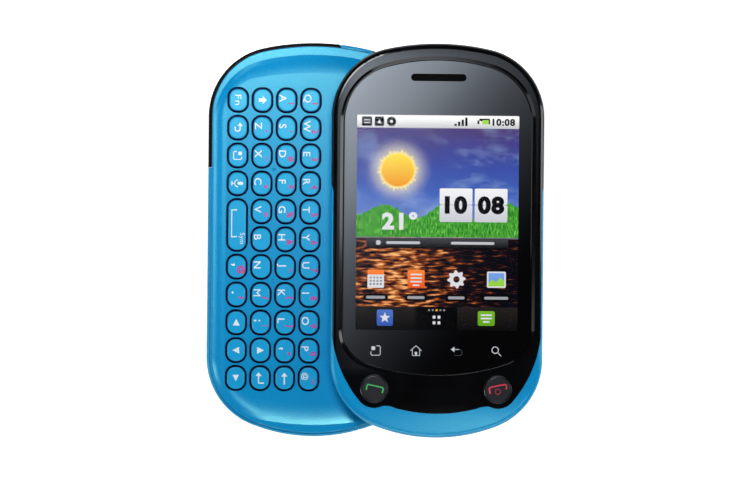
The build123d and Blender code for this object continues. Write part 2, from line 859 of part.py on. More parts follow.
pieces = {
    "rear_housing": make_rear_housing(),
    "battery_cover": make_battery_cover(),
    "battery_pack": make_battery_pack(),
    "keypad_deck": make_keypad_deck(),
    "key_mat": make_key_mat(),
    "main_board": make_main_board(),
    "case_screws": make_case_screws(),
    "port_cover": make_port_cover(),
    "volume_key": make_volume_key(),
    "guide_plate": make_guide_plate(),
}
for name, place, extra in keys:
    pieces["key_" + name] = make_key(place, extra)

slider_pieces = {
    "front_bezel": make_front_bezel(),
    "slider_case": make_slider_case(),
    "touch_lens": make_touch_lens(),
    "display_module": make_display_module(),
    "slide_plate": make_slide_plate(),
}
for name, place in call_keys.items():
    slider_pieces[name] = make_call_key(place)
for name, piece in slider_pieces.items():
    pieces[name] = Pos(slide_travel, 0, 0) * piece

os.makedirs("parts", exist_ok=True)
for name, piece in pieces.items():
    export_step(piece, f"parts/{name}.step")
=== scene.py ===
import bpy
from math import atan2, cos, pi, radians, sin
from mathutils import Matrix, Vector


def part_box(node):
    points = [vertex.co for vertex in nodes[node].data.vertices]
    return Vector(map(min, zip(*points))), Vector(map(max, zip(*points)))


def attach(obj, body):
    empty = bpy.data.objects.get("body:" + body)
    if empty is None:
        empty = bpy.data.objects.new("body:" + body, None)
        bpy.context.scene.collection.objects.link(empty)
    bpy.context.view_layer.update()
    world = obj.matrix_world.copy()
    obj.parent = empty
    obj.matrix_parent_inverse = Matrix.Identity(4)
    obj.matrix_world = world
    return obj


# A side-sliding phone, slid open and lying on its back. The keypad half is centred on the origin and
# the screen half lies one travel to its right. X runs to the right, Y to the earpiece, Z up.

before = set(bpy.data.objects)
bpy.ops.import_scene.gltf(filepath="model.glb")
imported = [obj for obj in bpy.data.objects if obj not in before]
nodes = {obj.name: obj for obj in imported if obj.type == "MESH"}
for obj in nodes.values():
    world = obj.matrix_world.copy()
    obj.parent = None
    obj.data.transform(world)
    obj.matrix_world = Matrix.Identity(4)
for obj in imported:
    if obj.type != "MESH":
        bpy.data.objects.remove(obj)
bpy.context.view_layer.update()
bpy.ops.object.select_all(action="DESELECT")
mm = 0.001


def colour(hexText):
    # sRGB hex to the linear values that shaders take
    parts = [int(hexText[i:i + 2], 16) / 255 for i in (1, 3, 5)]
    return [c / 12.92 if c <= 0.04045 else ((c + 0.055) / 1.055) ** 2.4 for c in parts] + [1.0]


def adjust(node, settings):
    # settings name a socket (or its number), a property of the node, or the stops of a colour ramp, in
    # pairs of position and hex colour
    for key, value in settings.items():
        if key == "stops":
            marks = node.color_ramp.elements
            while len(marks) < len(value):
                marks.new(1.0)
            for mark, (position, hexText) in zip(marks, value):
                mark.position = position
                mark.color = colour(hexText)
        elif isinstance(key, int) or key in node.inputs:
            node.inputs[key].default_value = colour(value) if isinstance(value, str) else value
        else:
            setattr(node, key, value)


def feed(node, links):
    # links bring other outputs into a node's sockets. A node given whole stands for its first output
    for key, source in links.items():
        output = source.outputs[0] if isinstance(source, bpy.types.Node) else source
        node.id_data.links.new(output, node.inputs[key])


def addNode(tree, kind, settings=None, links=None):
    node = tree.nodes.new("ShaderNode" + kind)
    adjust(node, settings or {})
    feed(node, links or {})
    return node


def startMaterial(name, settings):
    material = bpy.data.materials.new(name)
    material.use_nodes = True
    tree = material.node_tree
    surface = tree.nodes["Principled BSDF"]
    adjust(surface, settings)
    place = addNode(tree, "TexCoord").outputs["Object"]
    return material, tree, surface, place


# the blue lacquer of the case, the deck and the keys
lacquer = {
    "light": "#0492D0", "dark": "#0386C1", "rough": 0.26, "shine": 0.95, "tint": (0.36, 1.0, 0.84, 1.0),
    "flake": 0.35 * mm,  # real flakes are 0.03 mm, drawn coarser so that they show
    "bare": "#020305",  # black: painted shade on the walls of the key holes
}


def metallicLacquer(name, bareBelow=None):
    # aluminium flake lacquer on moulded ABS: satin sheen, with flakes that glitter faintly. Below the height
    # given it turns black: painted shade on the walls of the openings
    material, tree, surface, place = startMaterial(name, {
        "Roughness": lacquer["rough"], "Specular IOR Level": lacquer["shine"],
        "Specular Tint": lacquer["tint"]})
    flake = addNode(tree, "TexNoise", {"Scale": 1 / lacquer["flake"], "Detail": 1.0}, {"Vector": place})
    stops = [(0.3, lacquer["dark"]), (0.7, lacquer["light"])]
    tone = addNode(tree, "ValToRGB", {"stops": stops}, {"Fac": flake}).outputs["Color"]
    # painted shade: black on the walls of the openings, below the floor of the dish
    if bareBelow:
        height = addNode(tree, "SeparateXYZ", links={"Vector": place}).outputs["Z"]
        painted = addNode(tree, "Math", {"operation": "GREATER_THAN", 1: bareBelow}, {0: height})
        cover = addNode(tree, "Mix", {"data_type": "RGBA", 6: lacquer["bare"]}, {0: painted, 7: tone})
        tone = cover.outputs[2]
    bump = addNode(tree, "Bump", {"Strength": 0.08, "Distance": 0.01 * mm}, {"Height": flake})
    feed(surface, {"Base Color": tone, "Normal": bump})
    return material


def keyPlastic(low, high):
    # clear-topped keys lacquered from behind: pale face, and below the deck's surface dark and dull, where
    # the dark is painted shade of the narrow gap round each key
    material, tree, surface, place = startMaterial(
        "polycarbonateKeyShadedRoot", {"Specular Tint": lacquer["tint"]})
    height = addNode(tree, "SeparateXYZ", links={"Vector": place}).outputs["Z"]
    rises = {"tone": (0.0, 1.0), "Roughness": (0.9, 0.28), "Specular IOR Level": (0.1, lacquer["shine"])}
    level = {}
    for what, (below, above) in rises.items():
        level[what] = addNode(tree, "MapRange", {
            "From Min": low, "From Max": high, "To Min": below, "To Max": above}, {"Value": height})
    # the navy stops are painted shade in the narrow gap round each key
    stops = [(0.0, "#161D42"), (0.4, "#1E2960"), (1.0, "#119CD6")]
    level["Base Color"] = addNode(tree, "ValToRGB", {"stops": stops}, {"Fac": level.pop("tone")})
    feed(surface, level)
    return material


def fineGrain(name, dark, light, rough, grainSize, gloss=0.5, relief=(0.2, 0.01 * mm)):
    # small moulded or printed part with a fine even grain. Relief is its strength and depth
    material, tree, surface, place = startMaterial(name, {"Roughness": rough, "Specular IOR Level": gloss})
    grain = addNode(tree, "TexNoise", {"Scale": 1 / grainSize, "Detail": 2.0}, {"Vector": place})
    tone = addNode(tree, "ValToRGB", {"stops": [(0.3, dark), (0.7, light)]}, {"Fac": grain})
    bump = addNode(tree, "Bump", {"Strength": relief[0], "Distance": relief[1]}, {"Height": grain})
    feed(surface, {"Base Color": tone, "Normal": bump})
    return material


def pianoBlack():
    # black ABS from a polished mould: it mirrors the lamps, over a black that is a little uneven
    material, tree, surface, place = startMaterial(
        "polishedBlackAbs", {"Roughness": 0.11, "Specular IOR Level": 0.28})
    haze = addNode(tree, "TexNoise", {"Scale": 1 / (6 * mm), "Detail": 3.0}, {"Vector": place})
    tone = addNode(tree, "ValToRGB", {"stops": [(0.35, "#040405"), (0.75, "#090A0D")]}, {"Fac": haze})
    feed(surface, {"Base Color": tone})
    return material


def brushedSteel(name, rough, dark="#9EA3A8", light="#C4C8CC"):
    # rolled stainless sheet, brushed along Y: fine pale streaks
    material, tree, surface, place = startMaterial(name, {"Metallic": 1.0, "Roughness": rough})
    across, along = 1 / (0.15 * mm), 1 / (12 * mm)
    stretch = addNode(tree, "Mapping", {"Scale": (across, along, across)}, {"Vector": place})
    grain = addNode(tree, "TexNoise", {"Scale": 1.0, "Detail": 3.0}, {"Vector": stretch})
    tone = addNode(tree, "ValToRGB", {"stops": [(0.3, dark), (0.7, light)]}, {"Fac": grain})
    feed(surface, {"Base Color": tone})
    return material


def printedGlass(window):
    # touch glass, printed black behind except over the screen window
    material, tree, surface, place = startMaterial("printedTouchGlass", {"IOR": 1.5, "Roughness": 0.04})
    split = addNode(tree, "SeparateXYZ", links={"Vector": place}).outputs
    within = []
    for axis, middle, half in zip("XY", window["centre"], window["half"]):
        offset = addNode(tree, "Math", {"operation": "SUBTRACT", 1: middle}, {0: split[axis]})
        away = addNode(tree, "Math", {"operation": "ABSOLUTE"}, {0: offset})
        within.append(addNode(tree, "Math", {"operation": "LESS_THAN", 1: half}, {0: away}))
    clear = addNode(tree, "Math", {"operation": "MULTIPLY"}, {0: within[0], 1: within[1]})
    ink = addNode(tree, "ValToRGB", {"stops": [(0.0, "#020203"), (1.0, "#FFFFFF")]}, {"Fac": clear})
    # the display is bonded on behind the window, so that part mirrors less
    mirror = addNode(tree, "ValToRGB", {"stops": [(0.0, "#FFFFFF"), (1.0, "#5C5C5C")]}, {"Fac": clear})
    feed(surface, {"Transmission Weight": clear, "Base Color": ink, "Specular Tint": mirror})
    return material


def windowPrint(centre, clearRadius):
    # camera window: acrylic printed black behind, clear in the middle
    material, tree, surface, place = startMaterial("printedAcrylicWindow", {"IOR": 1.49, "Roughness": 0.05})
    away = addNode(tree, "VectorMath", {"operation": "DISTANCE", 1: centre}, {0: place}).outputs["Value"]
    clear = addNode(tree, "Math", {"operation": "LESS_THAN", 1: clearRadius}, {0: away})
    ink = addNode(tree, "ValToRGB", {"stops": [(0.0, "#030304"), (1.0, "#FFFFFF")]}, {"Fac": clear})
    feed(surface, {"Transmission Weight": clear, "Base Color": ink})
    return material


def coatedLens():
    # coated camera lens: dark glass with a violet bloom that grows towards the edge
    material, tree, surface, place = startMaterial(
        "coatedCameraLens", {"Roughness": 0.03, "Coat Weight": 0.2})
    facing = addNode(tree, "LayerWeight", {"Blend": 0.35}).outputs["Facing"]
    stops = [(0.0, "#070812"), (0.5, "#151033"), (1.0, "#2A1A55")]
    feed(surface, {"Base Color": addNode(tree, "ValToRGB", {"stops": stops}, {"Fac": facing})})
    return material


def printInk(name, light, dark, rough):
    # pad-printed ink, faintly uneven where it took to the plastic
    material, tree, surface, place = startMaterial(name, {"Roughness": rough})
    patch = addNode(tree, "TexNoise", {"Scale": 1 / (0.4 * mm), "Detail": 2.0}, {"Vector": place})
    tone = addNode(tree, "ValToRGB", {"stops": [(0.3, dark), (0.7, light)]}, {"Fac": patch})
    feed(surface, {"Base Color": tone})
    return material


# where the painted shade on a key's root gives way to its pale face, in depths under its top. All keys are as
# high as G
keyRootShade = {"dark": 0.19 * mm, "pale": 0.09 * mm}
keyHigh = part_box("key_g")[1].z
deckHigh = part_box("keypad_deck")[1].z
deckDish = 1.0 * mm  # from the deck's top to just under the floor of its dish

# the lit picture, in millimetres from the middle of the screen half: low and top are its ends, shore is
# where the water begins, and high where the sky's colours end. Its pieces lie in thin layers above the
# wallpaper, which is at level, and a piece's floor counts them from the back
screen = {"low": -23.7, "shore": 0.9, "high": 29.8, "top": 33.2, "half": 21.5, "level": 14.87, "step": 0.015,
          "layer": 0.012, "letterWidth": 1.08}
lensLow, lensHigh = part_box("touch_lens")
screenX = (lensLow.x + lensHigh.x) / 2
screenWindow = {"centre": (screenX, (screen["low"] + screen["top"]) / 2 * mm),
                "half": (screen["half"] * mm, (screen["top"] - screen["low"]) / 2 * mm)}

finishes = {
    "blue_case": metallicLacquer("satinBlueLacquer"),
    # the deck's key holes get painted shade below the floor of its dish
    "blue_deck": metallicLacquer("satinBlueDeckLacquerShadedHoles", deckHigh - deckDish),
    "blue_key": keyPlastic(keyHigh - keyRootShade["dark"], keyHigh - keyRootShade["pale"]),
    # ABS from a spark-eroded mould: dull, with a grain that catches little light
    "black_plastic": fineGrain("grainedBlackAbs", "#030304", "#0A0A0C", 0.5, 0.25 * mm, 0.08,
                               (0.25, 0.02 * mm)),
    "black_gloss": pianoBlack(),
    # moulded ABS with a satin finish: a soft grey sheen
    "call_key_plastic": fineGrain("satinGreyAbs", "#191A1F", "#202126", 0.3, 0.3 * mm),
    "screen_glass": printedGlass(screenWindow),
    # painted frame of the display unit: matt, so that it stays dark behind the earpiece's slot
    "display_frame": fineGrain("matteBlackFrame", "#040405", "#08080A", 0.7, 0.3 * mm, 0.06),
    "slide_steel": brushedSteel("brushedStainlessSheet", 0.3),
    "screw_steel": brushedSteel("platedScrewSteel", 0.35),
    # moulded silicone: soft and matt, navy in the rings round the keys
    "silicone": fineGrain("darkSilicone", "#0A1424", "#10203A", 0.7, 0.6 * mm),
    # solder mask on glass epoxy: a green lacquer that shines a little
    "circuit_board": fineGrain("solderMask", "#0C3A24", "#12482F", 0.45, 0.8 * mm),
    # printed shrink film: pale and smooth
    "battery_label": fineGrain("batterySleeve", "#D6D8D6", "#E2E3E1", 0.5, 0.7 * mm),
}
for node in nodes.values():
    for spot in node.material_slots:
        spot.material = finishes[spot.material.name.split(".")[0]]
print("materials:", len(finishes))

printThick = 0.04 * mm
# the built-in letter face: height of its capitals at size 1, steps along a curve, and letter spacing
face = {"capHeight": 0.729, "steps": 4, "spacing": 1.12}


def selectOnly(piece):
    bpy.ops.object.select_all(action="DESELECT")
    piece.select_set(True)
    bpy.context.view_layer.objects.active = piece


def settle(piece, name, body, material, at, scale=mm, turn=0.0, flat=None):
    # makes a text or curve a mesh, puts it in place and gives it its body and finish
    selectOnly(piece)
    if piece.type != "MESH":
        bpy.ops.object.convert(target="MESH")
        piece = bpy.context.object
    piece.name = piece.data.name = name
    piece.location = at
    piece.rotation_euler = (0, 0, turn)
    piece.scale = (scale, scale, flat or scale)
    bpy.ops.object.transform_apply(location=True, rotation=True, scale=True)
    piece.data.materials.clear()
    piece.data.materials.append(material)
    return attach(piece, body)


def centreMesh(piece):
    # moves a mesh so that the middle of its box is its origin
    points = [v.co for v in piece.data.vertices]
    low = Vector([min(c) for c in zip(*points)])
    high = Vector([max(c) for c in zip(*points)])
    piece.data.transform(Matrix.Translation(-(low + high) / 2))


def lettering(name, text, at, height, body, material, turn, bold, wide):
    # height is that of the capitals in millimetres, bold an offset of their outlines, and wide a stretch
    bpy.ops.object.text_add()
    piece = bpy.context.object
    size = height * mm / face["capHeight"]
    piece.data.body = text
    piece.data.offset = bold
    piece.data.extrude = printThick / 2 / size
    piece.data.resolution_u = face["steps"]
    piece.data.space_character = face["spacing"]
    selectOnly(piece)
    bpy.ops.object.convert(target="MESH")
    piece = bpy.context.object
    centreMesh(piece)
    piece.data.transform(Matrix.Diagonal((wide, 1, 1, 1)))
    return settle(piece, name, body, material, at, size, turn)


def addCurve(runs, settings):
    # a curve along runs of points in millimetres, closed where a run ends where it began
    bpy.ops.object.add(type="CURVE")
    piece = bpy.context.object
    for key, value in settings.items():
        setattr(piece.data, key, value)
    for run in runs:
        closed = run[0] == run[-1]
        points = run[:-1] if closed else run
        spline = piece.data.splines.new("POLY")
        spline.points.add(len(points) - 1)
        for point, (x, y) in zip(spline.points, points):
            point.co = (x, y, 0, 1)
        spline.use_cyclic_u = closed
    return piece


def drawing(name, outlines, at, body, material, thick=printThick):
    # flat print from outlines in millimetres, where one inside another leaves a hole
    runs = [[*outline, outline[0]] for outline in outlines]
    piece = addCurve(runs, {"dimensions": "2D", "fill_mode": "BOTH", "extrude": thick / mm / 2})
    return settle(piece, name, body, material, at)


def strokes(name, runs, width, at, body, material):
    # flat print from lines in millimetres: round wires of the stroke's width, pressed flat
    piece = addCurve(runs, {"dimensions": "3D", "bevel_depth": width / 2, "bevel_resolution": 1,
                            "use_fill_caps": True})
    return settle(piece, name, body, material, at, flat=printThick / width)


def arcPoints(x, y, r, start=0, end=360, steps=24):
    turns = [radians(start + (end - start) * n / steps) for n in range(steps + 1)]
    return [(x + r * cos(a), y + r * sin(a)) for a in turns]


def discPoints(x, y, r, steps=32):
    return arcPoints(x, y, r, steps=steps)[:-1]


def boxPoints(x, y, width, height, r=0.0):
    # rectangle round its middle, with round corners
    if not r:
        return [(x + i * width / 2, y + j * height / 2) for i, j in ((-1, -1), (1, -1), (1, 1), (-1, 1))]
    found = []
    for i, j, start in ((1, 1, 0), (-1, 1, 90), (-1, -1, 180), (1, -1, 270)):
        found += arcPoints(x + i * (width / 2 - r), y + j * (height / 2 - r), r, start, start + 90, 5)
    return found


def starPoints(x, y, count, reaches, start=0.0):
    # outline round its middle, whose distance from it runs through reaches again and again
    found = []
    for n in range(count):
        reach, turn = reaches[n % len(reaches)], start + 2 * pi * n / count
        found.append((x + reach * cos(turn), y + reach * sin(turn)))
    return found


def topMiddle(name, above=printThick / 2):
    # the middle of a node's top, or a little above it
    low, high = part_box(name)
    return Vector(((low.x + high.x) / 2, (low.y + high.y) / 2, high.z + above))


whiteInk = printInk("whiteKeyInk", "#E4EFF6", "#D3E3ED", 0.4)
pinkInk = printInk("magentaKeyInk", "#C2389C", "#AC2C88", 0.4)
silverInk = printInk("silverIconInk", "#D2D7DC", "#C0C6CC", 0.35)
greenInk = printInk("greenHandsetInk", "#45C067", "#38AC57", 0.4)
redInk = printInk("redHandsetInk", "#E23850", "#CC2E44", 0.4)
dimRedInk = printInk("dimRedInk", "#C42C3E", "#A82434", 0.4)

# key legends read with the phone turned on its side, so letter tops point to +X. Places are from the
# middle of a key, and sizes are shares of the main height
legends = {
    "turn": -pi / 2,
    "main": {"at": (-1.02, 0.53), "height": 1.95, "bold": 0.01, "wide": 1.08, "ink": whiteInk},
    "second": {"at": (1.15, -0.83), "height": 1.7, "bold": 0.03, "wide": 0.95, "ink": pinkInk},
    "sizes": {"comma": 1.5, "period": 1.4, "semicolon": 1.15, "apostrophe": 1.5, "at": 0.72},
    "mainText": {"comma": ",", "period": ".", "semicolon": ";", "apostrophe": "'", "at": "@"},
    "secondText": {
        "comma": "@", "period": "?", "z": "-", "x": "_", "c": "+", "v": "=", "m": "/", "semicolon": ":",
        "a": "!", "s": "'", "d": "#", "f": "$", "g": "%", "h": "&", "j": "*", "k": "(", "l": ")",
        "apostrophe": '"', "at": "~", "q": "1", "w": "2", "e": "3", "r": "4", "t": "5", "y": "6", "u": "7",
        "i": "8", "o": "9", "p": "0"},
    "words": {"fn": {"text": "Fn", "at": (0, 0), "height": 1.7, "wide": 1.3},
              "space": {"text": "Sym", "at": (1.2, -3.54), "height": 1.28, "wide": 1.0}},
}
# symbols of the other keys: filled outlines and lines with their stroke, from the middle of the key
keySigns = {
    "up": {"fill": [[(-0.95, -0.85), (0.95, -0.85), (0, 0.95)]]},
    "down": {"fill": [[(-0.85, 0.85), (0, -0.85), (0.85, 0.85)]]},
    "left": {"fill": [[(-1.0, 0), (0.85, -0.9), (0.85, 0.9)]]},
    "right": {"fill": [[(1.0, 0), (-0.85, 0.9), (-0.85, -0.9)]]},
    "shift": {"fill": [[(-1.0, -0.5), (0.05, -0.5), (0.05, -1.1), (1.15, 0), (0.05, 1.1), (0.05, 0.5),
                        (-1.0, 0.5)]]},
    "enter": {"fill": [[(-1.25, 0.55), (0.45, 0.55), (-0.4, 1.55)]], "stroke": 0.42,
              "lines": [[(-0.4, 0.7), (-0.4, -1.3), (1.05, -1.3)]]},
    "delete": {"fill": [[(-0.85, 0.45), (0.85, 0.45), (0, 1.5)]], "stroke": 0.42,
               "lines": [[(0, 0.6), (0, -1.65)]]},
    "back": {"fill": [[(-0.15, 0.45), (1.25, 0.45), (0.55, 1.35)]], "stroke": 0.4,
             "lines": [[(0.55, 0.5), (0.55, -0.3), *arcPoints(-0.1, -0.3, 0.65, 0, -180, 10),
                        (-0.75, 0.25)]]},
    "menu": {"fill": [boxPoints(0.62, 0.55, 0.95, 0.95)], "stroke": 0.32,
             "lines": [[(-0.3, 1.05), (-0.85, 1.05), (-1.1, 0.8), (-1.1, -0.8), (-0.85, -1.05), (0.8, -1.05),
                        (1.05, -0.8), (1.05, -0.35)]]},
    "mic": {"fill": [boxPoints(0.75, 0, 1.5, 0.86, 0.42)], "stroke": 0.28,
            "lines": [arcPoints(0.15, 0, 0.92, 90, 270, 12), [(-0.75, 0), (-1.45, 0)],
                      [(-1.5, -0.6), (-1.5, 0.6)]]},
    "space": {"stroke": 0.42, "lines": [[(-0.05, 4.0), (-1.46, 4.0), (-1.46, -3.1), (-0.05, -3.1)]]},
}


def keyLegend(style, label, text, middle, look, share=1.0):
    bold = 0.0 if text == "M" else look.get("bold", 0.0)  # the notches of an M would fold over
    lettering(f"{style}Legend_{label}", text, middle + Vector((*look["at"], 0)) * mm, look["height"] * share,
              "key_" + label, look.get("ink", whiteInk), legends["turn"], bold, look["wide"])


for name in nodes:
    if not name.startswith("key_") or name == "key_mat":
        continue
    label = name.removeprefix("key_")
    middle = topMiddle(name)
    letter = legends["mainText"].get(label, label.upper() if len(label) == 1 else None)
    if letter:
        keyLegend("main", label, letter, middle, legends["main"], legends["sizes"].get(label, 1.0))
    if label in legends["secondText"]:
        keyLegend("second", label, legends["secondText"][label], middle, legends["second"])
    sign = keySigns.get(label, {})
    if "fill" in sign:
        drawing("sign_" + label, sign["fill"], middle, name, whiteInk)
    if "lines" in sign:
        strokes("signLine_" + label, sign["lines"], sign["stroke"], middle, name, whiteInk)
    if label in legends["words"]:
        keyLegend("main", label, legends["words"][label]["text"], middle, legends["words"][label])
print("key legends")

# touch symbols under the screen, in a row that is touchY from the middle of the screen half
touchY = -29.2
touchSigns = {
    "touchMenu": {"x": -16.1, "stroke": 0.22, "fill": [boxPoints(-0.62, 0.62, 1.0, 1.0, 0.15)],
                  "lines": [[(0.2, 1.25), (0.95, 1.25), (1.25, 0.95), (1.25, -0.95), (0.95, -1.25),
                             (-0.95, -1.25), (-1.25, -0.95), (-1.25, -0.2)]]},
    "touchHome": {"x": -5.4, "stroke": 0.23, "fill": [boxPoints(0, -0.75, 0.62, 0.95)],
                  "lines": [[(-1.45, 0.05), (0, 1.35), (1.45, 0.05)],
                            [(-0.95, 0.3), (-0.95, -1.25), (0.95, -1.25), (0.95, 0.3)]]},
    "touchBack": {"x": 5.3, "stroke": 0.24, "fill": [[(-1.5, 0.45), (-0.5, 1.15), (-0.5, -0.25)]],
                  "lines": [[(-0.6, 0.45), (0.75, 0.45), *arcPoints(0.7, -0.35, 0.8, 90, -90, 10),
                             (-0.5, -1.15)]]},
    "touchSearch": {"x": 15.9, "stroke": 0.25,
                    "lines": [arcPoints(-0.3, 0.35, 0.85, steps=20), [(0.32, -0.27), (1.3, -1.25)]]},
}
for name, sign in touchSigns.items():
    middle = Vector((screenX + sign["x"] * mm, touchY * mm, lensHigh.z + printThick / 2))
    strokes(name, sign["lines"], sign["stroke"], middle, "slider", silverInk)
    if "fill" in sign:
        drawing(name + "Fill", sign["fill"], middle, "slider", silverInk)

# handset symbols on the call keys, and a power sign on the end key
callSigns = {
    "call_key": {"ink": greenInk, "stroke": 0.42,
                 "line": [(-2.11, -0.35), (-1.95, 0.75), (-1.6, 1.12), (2.2, 0.3), (2.42, -0.1),
                          (2.11, -1.15)]},
    "end_key": {"ink": redInk, "stroke": 0.43,
                "line": [(-2.03, -1.15), (-2.3, 0.1), (-2.05, 0.6), (1.9, 1.4), (2.3, 1.15), (2.25, 0.1)]},
}
powerSign = {"stroke": 0.2, "lines": [arcPoints(0, -0.54, 0.69, 120, 420, 18), [(0, -0.1), (0, 0.35)]]}
for name, sign in callSigns.items():
    strokes("handset_" + name, [sign["line"]], sign["stroke"], topMiddle(name), name, sign["ink"])
strokes("powerRing", powerSign["lines"], powerSign["stroke"], topMiddle("end_key"), "end_key", dimRedInk)
print("touch symbols and call key prints")

# the sun over the meadow, with the lengths of its rays in turn
sun = {"at": (-10.6, 18.6), "size": 4.3, "rays": (0.15, 1.5, 0.15, 0.8, 0.15, 1.1), "rayPoints": 60}
wide = 2 * screen["half"]
litSettings = {"Base Color": "#020203", "Roughness": 0.6, "Specular IOR Level": 0.0, "Emission Strength": 1.0}


def litPaint(name, low, high, span):
    # light from the display: a colour that runs from low to high between two heights on the screen
    material, tree, surface, place = startMaterial(name, litSettings)
    height = addNode(tree, "SeparateXYZ", links={"Vector": place}).outputs["Y"]
    ends = {"From Min": span[0] * mm, "From Max": span[1] * mm}
    level = addNode(tree, "MapRange", ends, {"Value": height})
    tone = addNode(tree, "ValToRGB", {"stops": [(0.0, low), (1.0, high)]}, {"Fac": level})
    feed(surface, {"Emission Color": tone})
    return material


def litGrass():
    # lit picture of grass: blades as fine upright streaks
    material, tree, surface, place = startMaterial("litGrassPicture", litSettings)
    blade = (1 / (0.35 * mm), 1 / (1.6 * mm), 1 / mm)
    stretch = addNode(tree, "Mapping", {"Scale": blade}, {"Vector": place})
    blades = addNode(tree, "TexNoise", {"Scale": 1.0, "Detail": 4.0}, {"Vector": stretch})
    stops = [(0.3, "#1F6A1E"), (0.5, "#3F9A30"), (0.62, "#63B845"), (0.75, "#A2DA78")]
    feed(surface, {"Emission Color": addNode(tree, "ValToRGB", {"stops": stops}, {"Fac": blades})})
    return material


# sizes in the evening picture, in millimetres: how far the sky's bands sway and over what length, clouds
# and ripples, where the sun's glow and its path on the water start and end, and how soft the shore is
dusk = {"sway": 9, "swayOver": 14, "cloud": (13, 7), "ripple": (3.2, 0.7), "glow": (4.0, 9.5),
        "path": (2, 26), "shoreSoft": 0.5}


def litDusk(shore, high, sunSpot):
    # lit picture of an evening sky over dark water
    material, tree, surface, place = startMaterial("litDuskPicture", litSettings)
    split = addNode(tree, "SeparateXYZ", links={"Vector": place}).outputs

    # bands of the sky, which sway a little
    swaySize = 1 / (dusk["swayOver"] * mm)
    drift = addNode(tree, "TexNoise", {"Scale": swaySize, "Detail": 5.0}, {"Vector": place})
    reach = dusk["sway"] * mm
    sway = addNode(tree, "Math", {"operation": "MULTIPLY_ADD", 1: reach, 2: -reach / 2}, {0: drift})
    lifted = addNode(tree, "Math", {"operation": "ADD"}, {0: split["Y"], 1: sway})
    skyLevel = addNode(tree, "MapRange", {"From Min": shore, "From Max": high}, {"Value": lifted})
    sky = addNode(tree, "ValToRGB", {"stops": [
        (0.0, "#B9A9C9"), (0.14, "#6E86C8"), (0.35, "#4467BC"), (0.62, "#3A4FA6"), (0.85, "#44418C"),
        (1.0, "#4E3E77")]}, {"Fac": skyLevel})

    # clouds
    cloudSize = (*(1 / (side * mm) for side in dusk["cloud"]), 1 / mm)
    stretch = addNode(tree, "Mapping", {"Scale": cloudSize}, {"Vector": place})
    puff = addNode(tree, "TexNoise", {"Scale": 1.0, "Detail": 6.0, "Roughness": 0.6}, {"Vector": stretch})
    cloud = addNode(tree, "MapRange", {"From Min": 0.5, "From Max": 0.78, "To Max": 0.75}, {"Value": puff})
    clouded = addNode(tree, "Mix", {"data_type": "RGBA", 7: "#9CB6E4"}, {0: cloud, 6: sky})

    # glow round the sun
    away = addNode(tree, "VectorMath", {"operation": "DISTANCE", 1: sunSpot}, {0: place}).outputs["Value"]
    ends = {"From Min": dusk["glow"][0] * mm, "From Max": dusk["glow"][1] * mm}
    halo = addNode(tree, "MapRange", {**ends, "To Min": 0.85, "To Max": 0.0}, {"Value": away})
    glow = addNode(tree, "Math", {"operation": "POWER", 1: 1.8}, {0: halo})
    air = addNode(tree, "Mix", {"data_type": "RGBA", 7: "#FFF4D0"}, {0: glow, 6: clouded.outputs[2]})

    # ripples, with more light under the sun
    rippleSize = (*(1 / (side * mm) for side in dusk["ripple"]), 1 / mm)
    ripple = addNode(tree, "Mapping", {"Scale": rippleSize}, {"Vector": place})
    glint = addNode(tree, "TexNoise", {"Scale": 1.0, "Detail": 2.0, "Roughness": 0.5}, {"Vector": ripple})
    offset = addNode(tree, "Math", {"operation": "SUBTRACT", 1: sunSpot[0]}, {0: split["X"]})
    aside = addNode(tree, "Math", {"operation": "ABSOLUTE"}, {0: offset})
    ends = {"From Min": dusk["path"][0] * mm, "From Max": dusk["path"][1] * mm}
    sunPath = addNode(tree, "MapRange", {**ends, "To Min": 0.13, "To Max": -0.12}, {"Value": aside})
    light = addNode(tree, "Math", {"operation": "ADD"}, {0: glint, 1: sunPath})
    water = addNode(tree, "ValToRGB", {"stops": [
        (0.38, "#0B0A12"), (0.5, "#1E1216"), (0.58, "#5C2A1A"), (0.66, "#B35A22"), (0.78, "#FFC27C")]},
        {"Fac": light})

    soft = dusk["shoreSoft"] * mm
    above = addNode(tree, "MapRange", {"From Min": shore - soft, "From Max": shore + soft},
                    {"Value": split["Y"]})
    picture = addNode(tree, "Mix", {"data_type": "RGBA"}, {0: above, 6: water, 7: air.outputs[2]})
    feed(surface, {"Emission Color": picture.outputs[2]})
    return material


sunSpot = (screenX + sun["at"][0] * mm, sun["at"][1] * mm, screen["level"] * mm)
paints = {
    "white": litPaint("litWhite", "#DCDDE2", "#FFFFFF", (0.0, 33.2)),
    "card": litPaint("litCard", "#C9CBD3", "#F4F4F7", (5.0, 13.5)),
    "bar": litPaint("litStatusBar", "#C9CACC", "#FFFFFF", (29.9, 32.4)),
    "dark": litPaint("litDark", "#060607", "#101114", (-24.0, 34.0)),
    "darkBar": litPaint("litDarkBar", "#060607", "#46474C", (-2.0, 0.9)),
    "dock": litPaint("litDock", "#0B0A0B", "#23201F", (-23.7, -17.5)),
    "pill": litPaint("litPill", "#9C9EA4", "#C6C8CE", (-16.0, 0.6)),
    "grey": litPaint("litGrey", "#6A6C72", "#A3A6AD", (-12.5, -7.5)),
    "orange": litPaint("litOrange", "#E8521A", "#FF8A3C", (-12.5, -7.5)),
    "yellow": litPaint("litYellow", "#F3B51E", "#FFE48A", (-12.5, -7.5)),
    "blue": litPaint("litBlue", "#2C55B0", "#7CA6EA", (-23.0, -7.5)),
    "green": litPaint("litGreen", "#5DA018", "#A5DC4A", (-23.0, -7.5)),
    "sun": litPaint("litSun", "#F08C12", "#FFE24A", (sun["at"][1] - 5.5, sun["at"][1] + 4.5)),
    "dusk": litDusk(screen["shore"] * mm, screen["high"] * mm, sunSpot),
    "grass": litGrass(),
}


def onScreen(name, floor, paint, outlines):
    at = (screenX, 0, (screen["level"] + floor * screen["step"]) * mm)
    return drawing(name, outlines, at, "slider", paints[paint], screen["layer"] * mm)


